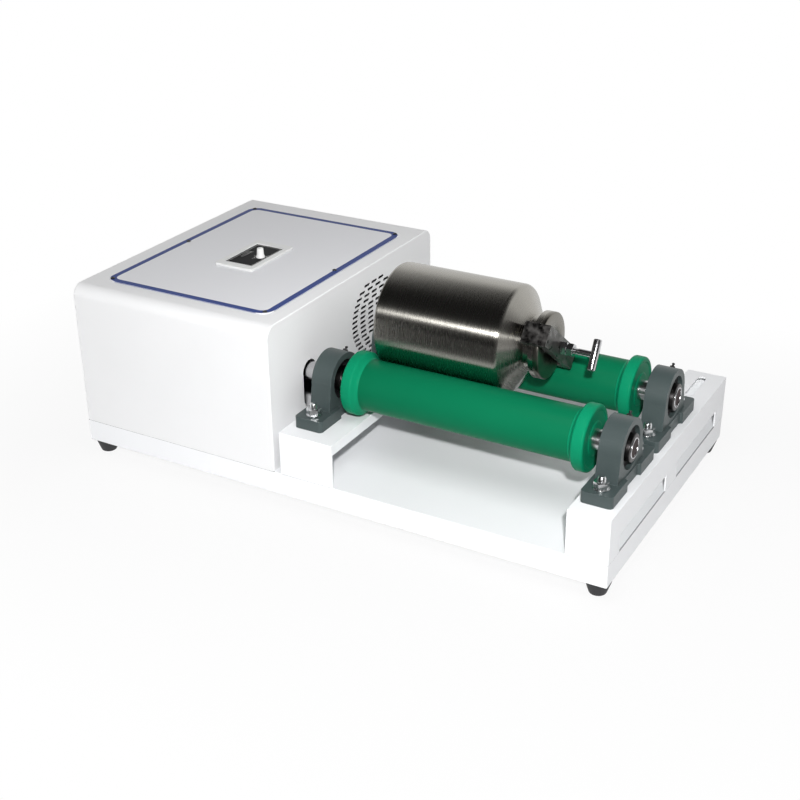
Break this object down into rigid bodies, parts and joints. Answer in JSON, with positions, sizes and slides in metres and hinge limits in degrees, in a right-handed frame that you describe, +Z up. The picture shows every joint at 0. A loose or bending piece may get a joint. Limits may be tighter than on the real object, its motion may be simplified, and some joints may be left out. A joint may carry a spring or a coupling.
{
  "type": "roller ball mill",
  "caption": "Benchtop roller ball mill: a steel jar with a clamped lid turns on green rollers in bearing blocks, driven from a white cabinet with a speed dial.",
  "frame": {"origin": "middle of the footprint, on the floor under the rubber feet", "axes": "+X along the rollers, away from the drive cabinet; +Y from the front to the back; +Z up"},
  "size_m": [0.746, 0.412, 0.2866],
  "materials": {
    "rubber_black": "matt moulded rubber",
    "white_paint": "smooth powder coat",
    "panel_white": "satin, with a thin blue printed border",
    "zinc_steel": "bright zinc plate",
    "bezel_plastic": "satin moulding",
    "black_plastic": "satin moulding with a printed dial",
    "knob_plastic": "glossy moulding",
    "cast_paint": "dark green-grey enamel over a rough casting",
    "bearing_seal": "black seal",
    "turned_steel": "turned and polished",
    "green_sleeve": "glossy cast polyurethane",
    "green_ring": "glossy cast polyurethane",
    "bearing_steel": "ground",
    "stainless_jar": "brushed round its axis",
    "stainless_lid": "turned",
    "stainless_clamp": "dull ground bar"
  },
  "bodies": {
    "root": {"feet": "rubber_black", "tray": "white_paint", "cabinet_cover": "white_paint", "top_panel": "panel_white", "panel_screws": "zinc_steel", "controller_frame": "bezel_plastic", "controller_face": "black_plastic", "left_bar": "white_paint", "right_bar": "white_paint", "left_front_housing": "cast_paint", "left_rear_housing": "cast_paint", "right_front_housing": "cast_paint", "right_rear_housing": "cast_paint", "left_front_bearing": "bearing_seal", "left_rear_bearing": "bearing_seal", "right_front_bearing": "bearing_seal", "right_rear_bearing": "bearing_seal", "block_bolts": "zinc_steel", "grease_nipples": "zinc_steel"},
    "knob": {"speed_knob": "knob_plastic"},
    "front_roller": {"front_shaft": "turned_steel", "front_sleeve": "green_sleeve", "front_rings": "green_ring", "front_inner_rings": "bearing_steel"},
    "rear_roller": {"rear_shaft": "turned_steel", "rear_sleeve": "green_sleeve", "rear_rings": "green_ring", "rear_inner_rings": "bearing_steel"},
    "jar": {"jar_body": "stainless_jar", "jar_lid": "stainless_lid", "clamp_yoke": "stainless_clamp", "clamp_fixed_nut": "zinc_steel"},
    "clamp_handle": {"clamp_screw": "turned_steel", "tee_handle": "turned_steel"}
  },
  "joints": [
    {"name": "front_roller_spin", "type": "hinge", "parent": "root", "child": "front_roller", "pos_m": [0, -0.117, 0.1515], "axis": [1, 0, 0], "continuous": true},
    {"name": "rear_roller_spin", "type": "hinge", "parent": "root", "child": "rear_roller", "pos_m": [0, 0.029, 0.1515], "axis": [1, 0, 0], "continuous": true},
    {"name": "jar_roll", "type": "hinge", "parent": "root", "child": "jar", "pos_m": [0, -0.044, 0.21955], "axis": [1, 0, 0], "continuous": true},
    {"name": "speed_dial", "type": "hinge", "parent": "root", "child": "knob", "pos_m": [-0.21, -0.0165, 0.2435], "axis": [0, 0, -1], "range_deg": [0, 270]},
    {"name": "clamp_turn", "type": "hinge", "parent": "jar", "child": "clamp_handle", "pos_m": [0, -0.044, 0.21955], "axis": [1, 0, 0], "range_deg": [0, 360]}
  ],
  "couplings": [
    {"joint": "rear_roller_spin", "follows": "front_roller_spin", "ratio": 1},
    {"joint": "jar_roll", "follows": "front_roller_spin", "ratio": -0.48507}
  ]
}
